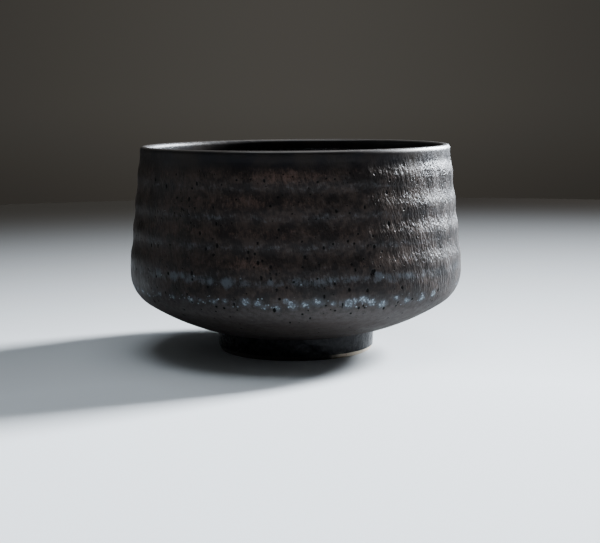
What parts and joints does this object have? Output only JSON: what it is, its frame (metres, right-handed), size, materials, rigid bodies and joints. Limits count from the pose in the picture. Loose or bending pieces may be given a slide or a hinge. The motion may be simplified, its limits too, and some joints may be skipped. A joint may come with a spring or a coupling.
{
  "type": "footed stoneware bowl",
  "caption": "Open wheel-thrown stoneware bowl with throwing rings, a turned-under belly, a rounded lip and a glazed foot ring.",
  "frame": {"origin": "centre of the foot ring's contact plane, on the table", "axes": "+Z is the bowl's axis and points up out of its mouth; the bowl is a turned form, so +X and +Y are free"},
  "size_m": [0.12, 0.12, 0.0743],
  "materials": {
    "stoneware": "bare fired clay, matte and fine grained",
    "outer_glaze": "dark iron glaze, satin to metallic, finely wrinkled and pitted, with blue crystal flecks",
    "lip_glaze": "thin black glaze, smooth and glossy",
    "inner_glaze": "black glaze, glossy",
    "foot_glaze": "black glaze, glossy"
  },
  "bodies": {
    "root": {"clay_body": "stoneware", "foot_ring": "stoneware", "outer_glaze": "outer_glaze", "lip_glaze": "lip_glaze", "inner_glaze": "inner_glaze", "foot_glaze": "foot_glaze", "recess_glaze": "foot_glaze"}
  },
  "joints": []
}
